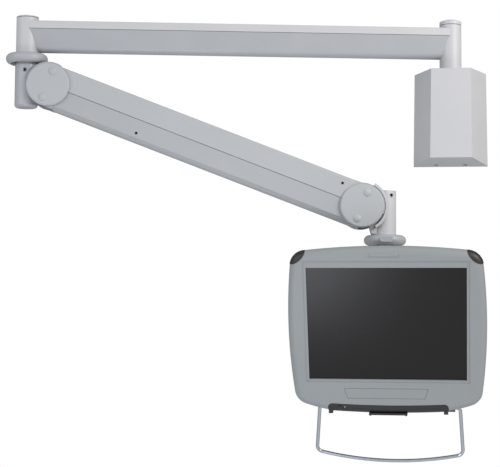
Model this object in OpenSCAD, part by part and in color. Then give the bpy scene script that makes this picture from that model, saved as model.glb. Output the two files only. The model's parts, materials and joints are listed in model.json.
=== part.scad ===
// Bedside patient monitor on a two-section wall arm.
// Origin: centre of the wall plate, on the wall. +Z up, +X to the right, the room is on the -Y side.

/* [Wall housing] */
// Width of the wall housing at the wall
housing_w = 151; // [140:1:180]
// Width of the housing's front face
housing_front_w = 82; // [60:1:100]
// Height of the housing at the wall
housing_h = 194; // [180:1:230]
// Depth of the housing from the wall
housing_d = 113; // [100:1:130]
// Distance from the wall to the wall post's axis
post_y = 60; // [55:1:65]

/* [Extension arm] */
// Outer radius of the wall post and of the elbow post
post_r = 22.5; // [22:0.5:24]
// Distance between the two posts' axes
ext_len = 871; // [600:1:1000]
// Height of the top of the lid above the housing's centre
lid_top = 181.5; // [178:0.5:190]
// Depth of the lid's sides
lid_h = 16; // [12:0.5:20]
// Height of the whole arm profile
beam_h = 63; // [58:1:70]

/* [Spring arm] */
// Distance between the two pivots of the spring arm
arm_len = 678; // [500:1:800]
// Half of the arm's height
arm_half_h = 43.5; // [43:0.5:45]
// Half of the arm's width over the upper shell
arm_half_w = 28; // [27:0.5:30]
// Radius of the round joint covers
cover_r = 44; // [42:0.5:45]
// Distance from a post's axis to the pivot beside it
pivot_off = 48; // [46:0.5:52]

/* [Monitor] */
// Largest width of the monitor's front
face_w = 385.2; // [370:0.1:400]
// Height of the face above the screen's centre
face_top = 155.6; // [150:0.1:165]
// Height of the face below the screen's centre
face_bottom = 187.6; // [180:0.1:195]
// Width of the screen opening, for a 15 inch 4:3 panel
screen_w = 308; // [306:1:312]
// Height of the screen opening
screen_h = 231; // [230:1:235]
// Distance from the tilt axis to the front face
face_y = 107; // [105:1:112]
// Distance from the tilt axis to the back of the monitor
back_y = 45; // [43:1:50]
// Sideways offset of the monitor from the swivel axis
face_x = 8; // [0:1:10]

/* [Pose] */
// Swing of the extension arm away from the wall
ext_yaw = 10; // [8:1:12]
// Heading of the spring arm
elbow_yaw = 6.5; // [6:0.5:7]
// Fall of the spring arm below the horizontal
arm_pitch = 20.9; // [18:0.1:24]
// Heading of the monitor
monitor_yaw = -1; // [-3:0.5:3]
// Forward tilt of the monitor
monitor_tilt = 21; // [18:0.5:24]
// Sideways lean of the loose bail
bail_lean = 0.9; // [0:0.1:2]

/* [Hidden] */
$fn = 64;
eps = 0.01;
slip = 0.05;
fit = 0.02;

// Heights along the two posts
beam_bottom = lid_top - beam_h;
lid_bottom = lid_top - lid_h;
post_top = 189;
cap_gap = 1;
elbow_x = -ext_len * cos(ext_yaw);
elbow_y = -post_y - ext_len * sin(ext_yaw);

// Collar rings round the two rotation joints
collar_r = 42.4;
collar_h = 20.4;
upper_collar_z = 104.8;

// Rear knuckle and its pivot
knuckle_r = 23.5;
knuckle_top = 93;
knuckle_low = 5;
rear_pivot_z = 48.5;
edge_r = 5;

// Set screws that fix the two bushes
set_r = 4.2;
rear_set_z = 79.5;
front_set_z = 22;

// Front pivot, post and collar
front_x = pivot_off + arm_len * cos(arm_pitch);
front_z = rear_pivot_z - arm_len * sin(arm_pitch);
front_post_x = front_x + pivot_off;
swivel_x = elbow_x + front_post_x * cos(elbow_yaw);
swivel_y = elbow_y + front_post_x * sin(elbow_yaw);
front_post_top = 32;
front_post_bottom = -60;
lower_collar_z = -67.7;
tilt_z = -200;

// Pivot pins, links and the spring inside the arm
pin_r = 6;
boss_r = 10.5;
bush_r = 9;
plate_in = 15;
plate_out = 20;
plate_half_h = 22;
lug_half = 14.5;
tongue_half = 6;
fork_in = 6.6;
fork_out = 10.6;
link_drop = 24;
link_pin_r = 4;
spring_pin_r = 3;
spring_arc_r = 21;
spring_mid_pitch = 27;
spring_pin_x = spring_arc_r * sin(spring_mid_pitch);
spring_pin_z = spring_arc_r * cos(spring_mid_pitch);
spring_t = 19.8;
spring_coil_r = 10.5;
spring_wire_r = 2.5;
spring_start = 69;
spring_end = 322;
spring_turns = 16;
wall = 3;

// Spindles in the two rotation joints
spindle_r = 15;
socket_r = 17;

// Monitor outline: shallow arcs joined by corner arcs
side_arc_r = 1150;
side_arc_z = -8;
top_arc_r = 1437;
bottom_arc_r = 1800;
top_corner_r = 32;
bottom_corner_r = 32;
// The lower edge turns up beside the control strip: place, slope and radius
turn_x = 115;
turn_a = 10;
turn_r = 300;
bezel_d = 16;
lip = 2;
glass_t = 4;

// Bail
bail_r = 3.5;
bail_bend_r = 12;
bail_bow_r = 600;
bail_bow_a = 13.1;
bail_low = -299.5;
bail_splay = 4.1;
bail_y = -82;
bail_x = 2;
bail_z = -181;
bail_pin_x = 118;
bail_hook_r = 8;

// ---------- places ----------

module at_wall_post() {
    translate([0, -post_y, 0]) rotate([0, 0, ext_yaw]) children();
}

module at_elbow() {
    translate([elbow_x, elbow_y, 0]) rotate([0, 0, elbow_yaw]) children();
}

module at_rear_pivot() {
    at_elbow() translate([pivot_off, 0, rear_pivot_z]) children();
}

module at_arm() {
    at_rear_pivot() rotate([0, arm_pitch, 0]) children();
}

module at_front_pivot() {
    at_elbow() translate([front_x, 0, front_z]) children();
}

module at_front_post() {
    at_front_pivot() translate([pivot_off, 0, 0]) children();
}

module at_swivel() {
    translate([swivel_x, swivel_y, front_z]) rotate([0, 0, monitor_yaw]) children();
}

module at_tilt() {
    at_swivel() translate([0, 0, tilt_z]) rotate([monitor_tilt, 0, 0]) children();
}

// The face's own frame: X across, Z up the screen, origin on the tilt axis
module at_face() {
    at_tilt() translate([face_x, 0, 0]) children();
}

// ---------- shared shapes ----------

// A straight rod along X, Y or Z between two stations
module rod_x(r, x0, x1) {
    translate([x0, 0, 0]) rotate([0, 90, 0]) cylinder(r = r, h = x1 - x0);
}

module rod_y(r, y0, y1) {
    translate([0, y1, 0]) rotate([90, 0, 0]) cylinder(r = r, h = y1 - y0);
}

module rod_z(r, z0, z1) {
    translate([0, 0, z0]) cylinder(r = r, h = z1 - z0);
}

// A flat shape drawn in X and Z, given thickness from y0 to y1
module plate_y(y0, y1) {
    translate([0, y1, 0]) rotate([90, 0, 0]) linear_extrude(y1 - y0) children();
}

// The same shape on both sides of the middle plane
module pair_y(y0, y1) {
    plate_y(y0, y1) children();
    plate_y(-y1, -y0) children();
}

// Round bar or boss with one rounded end, profile turned about Z
module round_ended_post(r, low, high, low_edge, high_edge) {
    rotate_extrude() {
        translate([0, low + low_edge]) square([r, high - low - low_edge - high_edge]);
        translate([0, low]) square([r - low_edge, high - low]);
        translate([0, high - high_edge]) square([r - high_edge, high_edge]);
        if (low_edge > 0) translate([r - low_edge, low + low_edge]) circle(low_edge);
        if (high_edge > 0) translate([r - high_edge, high - high_edge]) circle(high_edge);
    }
}

function arc(c, r, a0, a1, n) = [for (i = [0:n])
    let (a = a0 + (a1 - a0) * i / n)
    c + r * [cos(a), sin(a)]];

// The same arc without its last point, where the next arc starts
function open_arc(c, r, a0, a1, n) = [for (i = [0:n - 1])
    let (a = a0 + (a1 - a0) * i / n)
    c + r * [cos(a), sin(a)]];

// Point at distance ra from a and rb from b, on the left of the line from a to b
function meet(a, ra, b, rb) =
    let (d = norm(b - a), u = (b - a) / d, s = (ra * ra - rb * rb + d * d) / (2 * d))
    a + u * s + [-u[1], u[0]] * sqrt(ra * ra - s * s);

function bearing(from, to) = atan2(to[1] - from[1], to[0] - from[0]);

// Closed tube swept along points, none of which runs along side_axis
module swept_tube(path, r, sides, side_axis) {
    n = len(path);
    rings = [for (i = [0:n - 1])
        let (a = path[max(i - 1, 0)], b = path[min(i + 1, n - 1)])
        let (t = (b - a) / norm(b - a))
        let (u = cross(t, side_axis) / norm(cross(t, side_axis)), v = cross(t, u))
        for (k = [0:sides - 1]) path[i] + r * (u * cos(360 * k / sides) + v * sin(360 * k / sides))];
    skin = [for (i = [0:n - 2]) for (k = [0:sides - 1])
        [i * sides + k, (i + 1) * sides + k, (i + 1) * sides + (k + 1) % sides, i * sides + (k + 1) % sides]];
    first = [for (k = [0:sides - 1]) k];
    last = [for (k = [sides - 1:-1:0]) (n - 1) * sides + k];
    polyhedron(rings, concat(skin, [first, last]), convexity = 10);
}

// Small socket-head screw along +Y, head at y = 0, shank towards +Y
module socket_screw(head_r, head_h, shank_r, shank_l, key_r) {
    difference() {
        rod_y(head_r, 0, head_h);
        rod_y(key_r, -1, head_h * 0.6);
    }
    rod_y(shank_r, head_h - eps, head_h + shank_l);
}

// ---------- wall housing ----------

plate_t = 8;
plate_w = 120;
plate_h = 168;
bolt_x = 45;
bolt_z = 70;
bolt_r = 4.5;
tab_x = 30;
tab_y = -26;
tab_z = -88;
tab_h = 8;

module wall_plate() {
    color("silver") difference() {
        union() {
            translate([-plate_w / 2, -plate_t, -plate_h / 2]) cube([plate_w, plate_t, plate_h]);
            for (side = [-1, 1]) translate([side * tab_x - 9, tab_y - 9, tab_z]) cube([18, 9 - tab_y, tab_h]);
        }
        for (x = [-bolt_x, bolt_x], z = [-bolt_z, bolt_z]) translate([x, 0, z]) rod_y(bolt_r, -20, 20);
        for (side = [-1, 1]) translate([side * tab_x, tab_y, 0]) rod_z(2.1, tab_z - 1, tab_z + tab_h + 1);
    }
}

socket_outer_r = 31;
socket_z = 50;
socket_len = 28;
flange_w = 60;

module post_bracket() {
    color("gray") difference() {
        union() {
            translate([-flange_w / 2, -plate_t - 10, -80]) cube([flange_w, 10, 160]);
            translate([-9, -post_y, -socket_z - socket_len])
                cube([18, post_y - plate_t - 5, 2 * (socket_z + socket_len)]);
            for (z = [socket_z, -socket_z - socket_len]) {
                translate([0, -post_y, 0]) rod_z(socket_outer_r, z, z + socket_len);
                translate([-24, -post_y, z]) cube([48, post_y - plate_t - 5, socket_len]);
            }
        }
        translate([0, -post_y, 0]) rod_z(26, socket_z - 1, socket_z + socket_len + 1);
        translate([0, -post_y, 0]) rod_z(26, -socket_z - socket_len - 1, -socket_z + 1);
        translate([0, -post_y, 0]) rod_z(26, -socket_z, socket_z);
    }
}

module post_bushes() {
    color("dimgray") translate([0, -post_y, 0]) for (flip = [0, 1]) mirror([0, 0, flip]) difference() {
        union() {
            rod_z(26 - fit, socket_z, socket_z + socket_len);
            rod_z(29.5, socket_z + socket_len + fit, socket_z + socket_len + 2.5);
            rod_z(25.5, socket_z + socket_len - 1, socket_z + socket_len + 1);
        }
        rod_z(post_r + slip, 0, 100);
    }
}

housing_lean = 0.0124;
housing_draft = 5.5;
housing_side_d = 12;

// Wedge-shaped body of the housing, set in by a wall thickness for its hollow
module housing_form(inset, back) {
    rows = [[housing_w / 2 - inset, back], [housing_w / 2 - inset, -housing_side_d],
        [housing_front_w / 2 - inset * 0.7, inset - housing_d]];
    plan = concat(rows, [for (i = [2:-1:0]) [-rows[i][0], rows[i][1]]]);
    level = [for (p = plan) housing_h / 2 - inset + housing_draft * p[1] / housing_d];
    lean = [for (i = [0:5]) sign(plan[i][0]) * housing_lean * level[i]];
    top = [for (i = [0:5]) [plan[i][0] - lean[i], plan[i][1], level[i]]];
    low = [for (i = [0:5]) [plan[i][0] + lean[i], plan[i][1], -level[i]]];
    sides = [for (i = [0:5]) [i, i + 6, (i + 1) % 6 + 6, (i + 1) % 6]];
    polyhedron(concat(top, low), concat([[0, 1, 2, 3, 4, 5], [11, 10, 9, 8, 7, 6]], sides));
}

module housing_cover() {
    color("gainsboro") difference() {
        housing_form(0, 0);
        housing_form(wall, 5);
        translate([0, -post_y, 0]) rod_z(post_r + 1.2, 60, 120);
        for (side = [-1, 1]) translate([side * tab_x, tab_y, 0]) rod_z(2.3, -120, tab_z);
    }
}

module housing_screws() {
    color("darkgray") for (side = [-1, 1]) translate([side * tab_x, tab_y, -housing_h / 2 - 1.3])
        difference() {
            union() {
                rod_z(4, 0, 2.2);
                rod_z(2, 2, 14);
            }
            rod_z(1.3, -1, 1.2);
        }
}

// ---------- extension arm ----------

module wall_post() {
    color("gainsboro") at_wall_post() difference() {
        rod_z(post_r, -88, post_top);
        rod_z(post_r - 4, -90, post_top + 1);
    }
}

// Domed plug that closes the top of a post
module post_cap(side_h, dome_h) {
    dome_r = (post_r * post_r + dome_h * dome_h) / (2 * dome_h);
    low = post_top + cap_gap;
    difference() {
        union() {
            rod_z(post_r, low, low + side_h);
            intersection() {
                translate([0, 0, low + side_h + dome_h - dome_r]) sphere(dome_r, $fn = 200);
                rod_z(post_r, low + side_h - eps, low + side_h + dome_h + 1);
            }
            rod_z(post_r - 4.2, post_top - 10, low + eps);
        }
        rod_z(post_r - 7, post_top - 11, low);
    }
}

module wall_post_cap() {
    color("gainsboro") at_wall_post() post_cap(7, 5);
}

module post_collars() {
    color("silver") at_wall_post() for (z = [81, -89]) difference() {
        rod_z(30, z, z + 8);
        rod_z(post_r + fit, z - 1, z + 9);
        translate([0, 0, z + 4]) rotate([0, 0, 60]) rod_x(2, 20, 40);
    }
}

profile_r = 14;
profile_z = beam_bottom + profile_r;
channel_w = 22.3;

// Cross section of the beam: straight flanks that close on a round belly
module beam_section(inset, top) {
    reach = norm([channel_w, lid_bottom - profile_z]);
    swing = atan2(lid_bottom - profile_z, channel_w) - acos(profile_r / reach);
    r = profile_r - inset;
    low = r * [cos(swing), sin(swing)];
    high = [channel_w - inset, top];
    translate([0, profile_z]) circle(r);
    polygon([[-low[0], profile_z + low[1]], [low[0], profile_z + low[1]], high, [-high[0], high[1]]]);
}

module along_beam(from, to) {
    translate([-from, 0, 0]) rotate([90, 0, -90]) linear_extrude(to - from) children();
}

module arm_beam() {
    color("silver") at_wall_post() difference() {
        along_beam(0, ext_len) beam_section(0, lid_bottom - 0.8);
        along_beam(-1, ext_len + 1) beam_section(wall, lid_bottom + 1);
        rod_z(post_r + fit, 0, 300);
        translate([-ext_len, 0, 0]) rod_z(post_r + fit, 0, 300);
    }
}

module arm_lid() {
    edge = 3;
    half = post_r;
    color("gainsboro") at_wall_post() difference() {
        along_beam(0, ext_len) {
            translate([-half, lid_bottom]) square([2 * half, lid_h - edge]);
            translate([-half + edge, lid_bottom]) square([2 * (half - edge), lid_h]);
            for (side = [-1, 1]) translate([side * (half - edge), lid_top - edge]) circle(edge);
        }
        along_beam(-1, ext_len + 1) translate([-half + wall, lid_bottom - 1])
            square([2 * (half - wall), lid_h - wall + 1]);
        rod_z(post_r + 0.4, 0, 300);
        translate([-ext_len, 0, 0]) rod_z(post_r + 0.4, 0, 300);
    }
}

module at_elbow_post() {
    translate([elbow_x, elbow_y, 0]) rotate([0, 0, ext_yaw]) children();
}

module elbow_post() {
    color("gainsboro") at_elbow_post() difference() {
        rod_z(post_r, 95, post_top);
        rod_z(16, 90, post_top + 1);
        rod_z(post_r - 4, 160, post_top + 1);
    }
}

module elbow_post_cap() {
    color("gainsboro") at_elbow_post() post_cap(2, 2.5);
}

module elbow_spindle() {
    color("silver") at_elbow_post() {
        rod_z(spindle_r, 24, 96);
        rod_z(16 - fit, 95.5, 150);
    }
}

module spindle_washer() {
    color("dimgray") at_elbow_post() difference() {
        rod_z(18.4, 24.2, 29.8);
        rod_z(spindle_r + fit, 20, 30);
    }
}

// Thick rounded ring with a stepped recess on its underside
module collar(z, r_in) {
    tube_r = collar_h / 2;
    translate([0, 0, z]) rotate_extrude() difference() {
        union() {
            translate([r_in, -tube_r]) square([collar_r - tube_r - r_in, collar_h]);
            translate([collar_r - tube_r, 0]) circle(tube_r);
        }
        translate([0, -tube_r - 1]) square([r_in, collar_h + 2]);
        translate([r_in - 1, -tube_r - 1]) square([4, 4.5]);
        translate([r_in + 5, -tube_r - 1]) square([3.5, 2.5]);
    }
}

module upper_collar() {
    color("silver") at_elbow_post() collar(upper_collar_z, post_r + fit);
}

// ---------- rear knuckle ----------

// Solid web and ears that carry the pivots, drawn with the post on the -X side
module knuckle_lug(spring_ear) {
    plate_y(-lug_half, lug_half) {
        circle(boss_r);
        polygon([[-32, -30], [-13, -30], [-13, -9], [0, -boss_r],
            [0, boss_r], [-13, 9], [-13, 30], [-32, 30]]);
    }
    plate_y(-tongue_half, tongue_half) {
        translate([0, -link_drop]) circle(7.5);
        polygon([[-32, -31], [-2, -31], [7, -24], [9, 0], [-6, 26], [-32, 30]]);
        if (spring_ear) {
            translate([spring_pin_x, spring_pin_z]) circle(7);
            polygon([[9, 0], [16, 17], [7, 25.5], [-6, 26], [-14, 0]]);
        }
    }
}

module rear_knuckle() {
    color("silver") difference() {
        union() {
            at_elbow() round_ended_post(knuckle_r, knuckle_low, knuckle_top, edge_r, 1.5);
            at_rear_pivot() knuckle_lug(true);
        }
        at_elbow() rod_z(socket_r, 30, 100);
        at_elbow() rod_z(19, -1, 30);
        at_elbow() translate([0, 0, rear_set_z]) rod_y(set_r, -30, 0);
        at_rear_pivot() rod_y(pin_r + fit, -30, 30);
        at_rear_pivot() translate([0, 0, -link_drop]) rod_y(link_pin_r + fit, -30, 30);
        at_rear_pivot() translate([spring_pin_x, 0, spring_pin_z]) rod_y(spring_pin_r + fit, -30, 30);
    }
}

// Plain bush with a thrust flange on top, fitted in a knuckle's socket
module spindle_bush(low, high, flange_t) {
    difference() {
        union() {
            rod_z(socket_r - fit, low, high);
            rod_z(21.5, high - eps, high + flange_t);
        }
        rod_z(spindle_r + slip, low - 1, high + flange_t + 1);
    }
}

module elbow_bush() {
    color("white") at_elbow() spindle_bush(31, knuckle_top + 0.1, 1.4);
}

// Cup-point set screw along +Y, its socket at y = 0
module set_screw() {
    difference() {
        rod_y(set_r - fit, 0, 6);
        rod_y(set_r - 1.7, -1, 2.6);
    }
}

module rear_set_screw() {
    color("dimgray") at_elbow() translate([0, -knuckle_r - 0.4, rear_set_z]) set_screw();
}

module rear_pins() {
    color("silver") at_rear_pivot() {
        rod_y(pin_r, -20.8, 20.8);
        translate([0, 0, -link_drop]) rod_y(link_pin_r, -11.5, 11.5);
        translate([spring_pin_x, 0, spring_pin_z]) rod_y(spring_pin_r, -11.5, 11.5);
    }
}

module rear_knuckle_plug() {
    color("dimgray") at_elbow() rod_z(19 - fit, knuckle_low + 1, knuckle_low + 5);
}

// ---------- spring arm ----------

module arm_frame() {
    color("darkgray") at_arm() difference() {
        union() {
            pair_y(plate_in, plate_out) {
                circle(plate_half_h);
                translate([arm_len, 0]) circle(plate_half_h);
                translate([0, -plate_half_h]) square([arm_len, 2 * plate_half_h]);
            }
            for (s = [60, 200, 340, 480, 620])
                translate([s, 0, -1.5]) rod_y(3.8, -plate_in - 1, plate_in + 1);
        }
        for (s = [0, arm_len]) translate([s, 0, 0]) rod_y(bush_r, -30, 30);
    }
}

module pivot_bushes() {
    color("dimgray") at_arm() for (s = [0, arm_len], side = [-1, 1])
        translate([s, 0, 0]) mirror([0, side > 0 ? 1 : 0, 0]) difference() {
            rod_y(bush_r - fit, -plate_out, -plate_in + 0.2);
            rod_y(pin_r + slip, -30, 0);
        }
}

head_r = 46.5;
seam = 0.8;
top_wall_start = -2;
top_wall_end = arm_len - 16;
low_wall_start = 25;
low_wall_end = arm_len + 9;

// Side view of the upper half of the arm, with its round heads
module upper_side() {
    intersection() {
        union() {
            for (s = [0, arm_len]) translate([s, 0]) circle(head_r);
            translate([0, 0]) square([arm_len, arm_half_h]);
        }
        translate([-60, seam / 2]) square([arm_len + 120, 60]);
    }
}

module lower_side() {
    intersection() {
        union() {
            for (s = [0, arm_len]) translate([s, 0]) circle(arm_half_h);
            translate([0, -arm_half_h]) square([arm_len, arm_half_h]);
        }
        translate([-60, -60]) square([arm_len + 120, 60 - seam / 2]);
    }
}

module shell_screw_holes(r) {
    for (p = [[202.5, -27.5], [625.5, 28.3]], side = [-1, 1])
        translate([p[0], 0, p[1]]) mirror([0, side > 0 ? 1 : 0, 0]) rod_y(r, -40, -18);
}

// Cross section of the upper shell's roof
module roof_section(round_r) {
    inner = arm_half_w - wall;
    flat = arm_half_w - round_r;
    difference() {
        union() {
            translate([-arm_half_w, 10]) square([2 * arm_half_w, arm_half_h - round_r - 10]);
            translate([-flat, 10]) square([2 * flat, arm_half_h - 10]);
            for (side = [-1, 1]) translate([side * flat, arm_half_h - round_r]) circle(round_r);
        }
        translate([-inner, 9]) square([2 * inner, arm_half_h - wall - 9]);
    }
}

module upper_shell() {
    round_r = 5;
    color("gainsboro") at_arm() difference() {
        union() {
            pair_y(arm_half_w - wall, arm_half_w) upper_side();
            translate([top_wall_start, 0, 0]) rotate([90, 0, 90])
                linear_extrude(top_wall_end - top_wall_start) roof_section(round_r);
        }
        shell_edge_cut(round_r);
        shell_screw_holes(2.9);
    }
}

// Rounds the long top edges of the side walls between the two heads
module shell_edge_cut(round_r) {
    from = 12;
    for (side = [0, 1]) mirror([0, side, 0]) translate([from, -arm_half_w, arm_half_h - round_r])
        rotate([90, 0, 90]) linear_extrude(arm_len - 2 * from - 16) difference() {
            translate([-2, 0]) square([round_r + 2, round_r + 6]);
            translate([round_r, 0]) circle(round_r);
        }
}

// Cross section of the lower shell's trough, open at the top
module trough(half, low, top, bevel) {
    polygon([[-half, top], [-half, bevel - low], [bevel - half, -low],
        [half - bevel, -low], [half, bevel - low], [half, top]]);
}

module lower_shell() {
    half = arm_half_w - 1;
    bevel = 7;
    skin = 2.5;
    color("silver") at_arm() difference() {
        union() {
            pair_y(half - skin, half) lower_side();
            translate([low_wall_start, 0, 0]) rotate([90, 0, 90])
                linear_extrude(low_wall_end - low_wall_start) difference() {
                    trough(half, arm_half_h, -20, bevel);
                    trough(half - skin, arm_half_h - skin, -19, bevel - 1);
                }
        }
        lower_edge_cut(half, bevel);
        shell_screw_holes(2.9);
    }
}

// Bevels the long bottom edges between the two heads
module lower_edge_cut(half, bevel) {
    for (side = [0, 1]) mirror([0, side, 0]) translate([low_wall_start, -half, -arm_half_h])
        rotate([90, 0, 90]) linear_extrude(low_wall_end - low_wall_start)
            polygon([[-2, -2], [bevel, -2], [bevel, 0], [0, bevel], [-2, bevel]]);
}

cover_in = arm_half_w + 0.3;
cover_out = arm_half_w + 6;
plug_off = 28;

// Round cover with a bevelled rim, for the near side (-Y)
module round_cover() {
    rim = 2.5;
    difference() {
        rotate([90, 0, 0]) rotate_extrude($fn = 128)
            polygon([[0, cover_in], [cover_r, cover_in], [cover_r, cover_out - rim],
                [cover_r - rim, cover_out], [0, cover_out]]);
        for (side = [-1, 1]) translate([0, 0, side * plug_off]) rod_y(8, -cover_out - 1, -cover_out + 3);
        for (side = [-1, 1]) translate([0, 0, side * plug_off]) rod_y(2.6, -cover_out - 1, 0);
    }
}

module rear_near_cover() {
    color("gainsboro") at_arm() round_cover();
}

module rear_far_cover() {
    color("gainsboro") at_arm() mirror([0, 1, 0]) round_cover();
}

module front_near_cover() {
    color("gainsboro") at_arm() translate([arm_len, 0, 0]) round_cover();
}

module front_far_cover() {
    color("gainsboro") at_arm() translate([arm_len, 0, 0]) mirror([0, 1, 0]) round_cover();
}

// Domed plugs over the cover screws
module cover_plugs() {
    dome_h = 3.2;
    base_r = 8.6;
    sphere_r = (base_r * base_r + dome_h * dome_h) / (2 * dome_h);
    color("silver") at_arm() for (s = [0, arm_len], t = [-plug_off, plug_off], side = [0, 1])
        translate([s, 0, t]) mirror([0, side, 0]) union() {
            intersection() {
                translate([0, sphere_r - dome_h - cover_out - 0.1, 0]) sphere(sphere_r, $fn = 96);
                rod_y(base_r, -cover_out - dome_h - 1, -cover_out - 0.1);
            }
            rod_y(7.8, -cover_out - 0.2, -cover_out + 2.5);
        }
}

module side_screws() {
    color("dimgray") at_arm() for (p = [[202.5, -27.5, 1], [625.5, 28.3, 0]], side = [0, 1])
        translate([p[0], 0, p[1]]) mirror([0, side, 0]) translate([0, -arm_half_w + 0.8 + p[2], 0])
            socket_screw(2.8, 3, 1.6, 3, 1.3);
}

module spring_seat() {
    color("gray") at_arm() difference() {
        translate([spring_start - 13, -plate_in + 0.1, 8]) cube([10, 2 * plate_in - 0.2, 26]);
        translate([0, 0, spring_t]) rod_x(5.6, spring_start - 20, spring_start);
    }
}

module spring() {
    steps = 10;
    length = spring_end - spring_start - 2 * spring_wire_r;
    count = spring_turns * steps;
    path = [for (i = [0:count])
        let (a = 360 * i / steps, s = spring_start + spring_wire_r + length * i / count)
        [s, spring_coil_r * cos(a), spring_t + spring_coil_r * sin(a)]];
    color("dimgray") at_arm() swept_tube(path, spring_wire_r, 6, [1, 0, 0]);
}

spring_pin_s = spring_pin_x * cos(arm_pitch) - spring_pin_z * sin(arm_pitch);

slot_r = spring_pin_r + 0.6;

module spring_rod() {
    color("silver") at_arm() difference() {
        union() {
            translate([0, 0, spring_t]) rod_x(5, 32, 352);
            translate([0, 0, spring_t]) rod_x(12, spring_end + 12, spring_end + 20);
            pair_y(fork_in, fork_out) {
                translate([spring_pin_s, spring_t]) circle(7.4);
                translate([spring_pin_s, spring_t - 7.4]) square([32 - spring_pin_s, 14.8]);
            }
            translate([28, -fork_out, spring_t - 7.4]) cube([6, 2 * fork_out, 14.8]);
        }
        for (rise = [-1, 1]) translate([spring_pin_s, 0, spring_t + rise]) rod_y(slot_r, -30, 30);
        translate([spring_pin_s - slot_r, -30, spring_t - 1]) cube([2 * slot_r, 60, 2]);
    }
}

link_s = link_drop * sin(arm_pitch);
link_t = -link_drop * cos(arm_pitch);

module tension_link() {
    color("darkgray") at_arm() translate([link_s, 0, link_t]) difference() {
        union() {
            pair_y(fork_in, fork_out) {
                for (s = [0, arm_len]) translate([s, 0]) circle(7.4);
                translate([0, -4]) square([arm_len, 8]);
            }
            for (s = [100, 250, 400, 550])
                translate([s - 6, -fork_out + 1, -3]) cube([12, 2 * fork_out - 2, 6]);
        }
        rod_y(link_pin_r + slip, -30, 30);
        translate([arm_len, 0, 0]) rod_y(link_pin_r + 0.5, -30, 30);
    }
}

// ---------- front knuckle ----------

// Outer radius of the curved shield between the post and the arm's round head
nose_r = 52.5;

module front_knuckle() {
    color("gainsboro") difference() {
        union() {
            at_front_post() round_ended_post(post_r, front_post_bottom, front_post_top, 0, edge_r);
            at_front_pivot() mirror([1, 0, 0]) knuckle_lug(false);
            at_front_pivot() plate_y(-lug_half, lug_half)
                polygon([[13, -30], [20.5, -55], [34, -55], [34, -30]]);
            at_front_pivot() plate_y(-arm_half_w, arm_half_w) intersection() {
                difference() {
                    circle(nose_r);
                    circle(head_r + 1);
                }
                polygon([[0, 0], [43.6, -67.1], [110, -60], [110, 60], [40, 69.3]]);
            }
        }
        at_front_post() rod_z(socket_r, front_post_bottom - 1, 10);
        at_front_post() rotate([0, 0, 30]) translate([0, 0, front_set_z]) rod_y(set_r, -30, -14);
        at_front_pivot() rod_y(pin_r + fit, -30, 30);
        at_front_pivot() translate([0, 0, -link_drop]) rod_y(link_pin_r + fit, -30, 30);
    }
}

module swivel_bush() {
    color("white") at_front_post() mirror([0, 0, 1]) spindle_bush(5, -front_post_bottom + 0.1, 1.4);
}

module front_set_screw() {
    color("dimgray") at_front_post() rotate([0, 0, 30]) translate([0, -post_r - 0.4, front_set_z]) set_screw();
}

module front_pins() {
    color("silver") at_front_pivot() {
        rod_y(pin_r, -20.8, 20.8);
        translate([0, 0, -link_drop]) rod_y(link_pin_r, -11.5, 11.5);
    }
}

plug_r = 5.5;

module lower_collar() {
    color("silver") at_front_post() difference() {
        collar(lower_collar_z, post_r + fit);
        translate([0, 0, lower_collar_z]) plug_pad(plug_r, -50);
    }
}

// Oval pad set into the collar's front
module plug_pad(r, front) {
    for (side = [-1, 1]) translate([side * 8, 0, 0]) rod_y(r, front, -38);
    translate([-8, front, -r]) cube([16, -38 - front, 2 * r]);
}

module collar_plug() {
    color("gainsboro") at_front_post() translate([0, 0, lower_collar_z])
        plug_pad(plug_r - fit, -collar_r - 0.3);
}

// ---------- swivel head ----------

module swivel_spindle() {
    color("silver") at_swivel() {
        rod_z(spindle_r, -80, 3.5);
        rod_z(19, -120, -79.6);
    }
}

module swivel_washer() {
    color("dimgray") at_swivel() difference() {
        rod_z(16.4, -4.9, 0.6);
        rod_z(spindle_r + fit, -6, 2);
    }
}

ear_in = 21.5;
ear_out = 28;

module tilt_fork() {
    color("gainsboro") at_swivel() difference() {
        union() {
            rod_z(23, -165, -100);
            translate([-ear_out, -17, -176]) cube([2 * ear_out, 34, 22]);
            for (side = [-1, 1]) translate([side > 0 ? ear_in : -ear_out, 0, tilt_z]) {
                rod_x(17, 0, ear_out - ear_in);
                translate([0, -17, 0]) cube([ear_out - ear_in, 34, 30]);
            }
        }
        rod_z(19 + fit, -120.05, -90);
        translate([0, 0, tilt_z]) rod_x(19, -ear_in, ear_in);
        translate([0, 0, tilt_z]) rod_x(pin_r + fit, -40, 40);
    }
}

module tilt_pin() {
    color("silver") at_swivel() translate([0, 0, tilt_z]) {
        rod_x(pin_r, -ear_out, ear_out);
        for (side = [0, 1]) mirror([side, 0, 0]) rod_x(9, ear_out + 0.1, ear_out + 3);
    }
}

// ---------- monitor ----------

vesa = 100;

module mounting_bracket() {
    color("darkgray") at_tilt() difference() {
        union() {
            rod_x(16, -ear_in + 0.5, ear_in - 0.5);
            translate([-ear_in + 0.5, -back_y + 3, -16]) cube([2 * ear_in - 1, back_y - 3, 32]);
            translate([face_x - 60, -back_y + 0.1, -60]) cube([120, 4, 120]);
        }
        rod_x(pin_r + slip, -40, 40);
        for (x = [-vesa / 2, vesa / 2], z = [-vesa / 2, vesa / 2])
            translate([face_x + x, 0, z]) rod_y(2.3, -60, 0);
    }
}

module bracket_screws() {
    color("dimgray") at_face() for (x = [-vesa / 2, vesa / 2], z = [-vesa / 2, vesa / 2])
        translate([x, -back_y + 4.3, z]) mirror([0, 1, 0]) difference() {
            union() {
                rod_y(4, -2.4, 0);
                rod_y(1.95, -1, 11);
            }
            rod_y(1.3, -4, -1.2);
        }
}

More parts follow.
